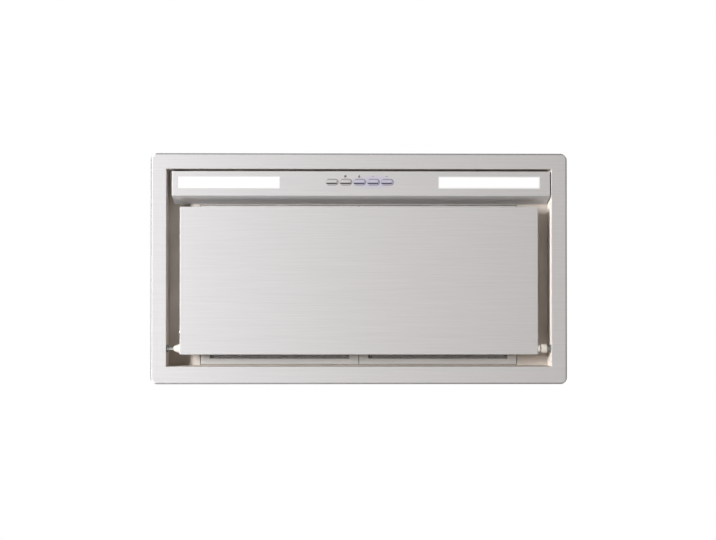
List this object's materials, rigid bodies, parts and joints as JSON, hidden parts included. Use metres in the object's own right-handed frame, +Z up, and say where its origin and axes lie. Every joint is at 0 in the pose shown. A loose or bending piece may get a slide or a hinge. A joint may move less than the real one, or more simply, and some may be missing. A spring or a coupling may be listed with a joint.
{
  "type": "built-in range hood",
  "caption": "Canopy hood that sits flush in a cabinet's bottom, with a light bar, push buttons, a hinged suction panel over grease filters, and a duct collar on top.",
  "frame": {"origin": "centre of the flange's upper edge, in the plane of the cabinet's underside", "axes": "+Z up towards the duct, -Y towards the user, +X to the user's right hand as they face +Y"},
  "size_m": [0.7, 0.388, 0.316],
  "materials": {
    "satin_steel": "brushed satin",
    "galvanised": "galvanised sheet",
    "spring_steel": "rolled",
    "zinc_screw": "zinc plated",
    "aluminium_mesh": "expanded and rolled",
    "aluminium_profile": "rolled",
    "white_nylon": "moulded",
    "white_abs": "moulded",
    "grey_plastic": "moulded",
    "black_plastic": "moulded",
    "button_chrome": "satin plated",
    "light_lens": "opal, lit",
    "circuit_board": "solder mask",
    "light_board": "white solder mask",
    "seal_foam": "closed-cell foam",
    "black_rubber": "moulded",
    "magnet": "sintered ferrite",
    "motor_steel": "passivated",
    "impeller_steel": "galvanised"
  },
  "bodies": {
    "hood": {"face_frame": "satin_steel", "cabinet_seal": "seal_foam", "filter_tray": "satin_steel", "filter_rail": "galvanised", "control_bar": "satin_steel", "light_diffuser_left": "light_lens", "light_diffuser_right": "light_lens", "lamp_housings": "white_abs", "light_boards": "light_board", "light_driver": "white_abs", "keypad_housing": "black_plastic", "keypad_board": "circuit_board", "key_switches": "black_plastic", "pivot_bushes": "grey_plastic", "catch_posts": "galvanised", "catch_magnets": "magnet", "filter_frame_left": "aluminium_profile", "filter_frame_right": "aluminium_profile", "filter_mesh_left": "aluminium_mesh", "filter_mesh_right": "aluminium_mesh", "latch_guides": "grey_plastic", "casing_front": "galvanised", "casing_rear": "galvanised", "casing_left": "galvanised", "casing_right": "galvanised", "top_cover": "galvanised", "duct_collar": "black_plastic", "damper_spindle": "zinc_screw", "scroll_band": "galvanised", "scroll_sides": "galvanised", "inlet_rings": "galvanised", "motor": "motor_steel", "motor_bracket": "galvanised", "motor_mounts": "black_rubber", "electrical_box": "black_plastic", "electrical_lid": "black_plastic", "control_board": "circuit_board", "run_capacitor": "white_abs", "terminal_block": "white_abs", "cable_gland": "grey_plastic", "fixing_clips": "spring_steel", "rivets": "aluminium_profile", "casing_screws": "zinc_screw", "small_screws": "zinc_screw"},
    "panel": {"suction_panel": "satin_steel", "panel_inner_plate": "satin_steel", "panel_screws": "zinc_screw", "pivot_knobs": "white_nylon", "pivot_pins": "zinc_screw"},
    "latch_left": {"filter_latch_left": "grey_plastic"},
    "latch_right": {"filter_latch_right": "grey_plastic"},
    "rotor": {"impeller": "impeller_steel", "motor_shaft": "zinc_screw"},
    "flap_front": {"damper_flap_front": "black_plastic"},
    "flap_rear": {"damper_flap_rear": "black_plastic"},
    "key_1": {"button_1": "button_chrome"},
    "key_2": {"button_2": "button_chrome"},
    "key_3": {"button_3": "button_chrome"},
    "key_4": {"button_4": "button_chrome"},
    "key_5": {"button_5": "button_chrome"}
  },
  "joints": [
    {"name": "panel_hinge", "type": "hinge", "parent": "hood", "child": "panel", "pos_m": [0, 0.1343, 0.002], "axis": [1, 0, 0], "range_deg": [0, 90]},
    {"name": "button_1_press", "type": "slide", "parent": "hood", "child": "key_1", "axis": [0, 0, 1], "range_m": [0, 0.0008], "stiffness_N_per_m": 400, "springref_m": -0.0005},
    {"name": "button_2_press", "type": "slide", "parent": "hood", "child": "key_2", "axis": [0, 0, 1], "range_m": [0, 0.0008], "stiffness_N_per_m": 400, "springref_m": -0.0005},
    {"name": "button_3_press", "type": "slide", "parent": "hood", "child": "key_3", "axis": [0, 0, 1], "range_m": [0, 0.0008], "stiffness_N_per_m": 400, "springref_m": -0.0005},
    {"name": "button_4_press", "type": "slide", "parent": "hood", "child": "key_4", "axis": [0, 0, 1], "range_m": [0, 0.0008], "stiffness_N_per_m": 400, "springref_m": -0.0005},
    {"name": "button_5_press", "type": "slide", "parent": "hood", "child": "key_5", "axis": [0, 0, 1], "range_m": [0, 0.0008], "stiffness_N_per_m": 400, "springref_m": -0.0005},
    {"name": "latch_left_slide", "type": "slide", "parent": "hood", "child": "latch_left", "axis": [0, 1, 0], "range_m": [0, 0.007], "stiffness_N_per_m": 300, "springref_m": -0.004},
    {"name": "latch_right_slide", "type": "slide", "parent": "hood", "child": "latch_right", "axis": [0, 1, 0], "range_m": [0, 0.007], "stiffness_N_per_m": 300, "springref_m": -0.004},
    {"name": "impeller_spin", "type": "hinge", "parent": "hood", "child": "rotor", "pos_m": [0, -0.033, 0.175], "axis": [1, 0, 0], "continuous": true},
    {"name": "damper_front_swing", "type": "hinge", "parent": "hood", "child": "flap_front", "pos_m": [0, 0.02, 0.2868], "axis": [-1, 0, 0], "range_deg": [0, 75]},
    {"name": "damper_rear_swing", "type": "hinge", "parent": "hood", "child": "flap_rear", "pos_m": [0, 0.02, 0.2868], "axis": [1, 0, 0], "range_deg": [0, 75]}
  ]
}
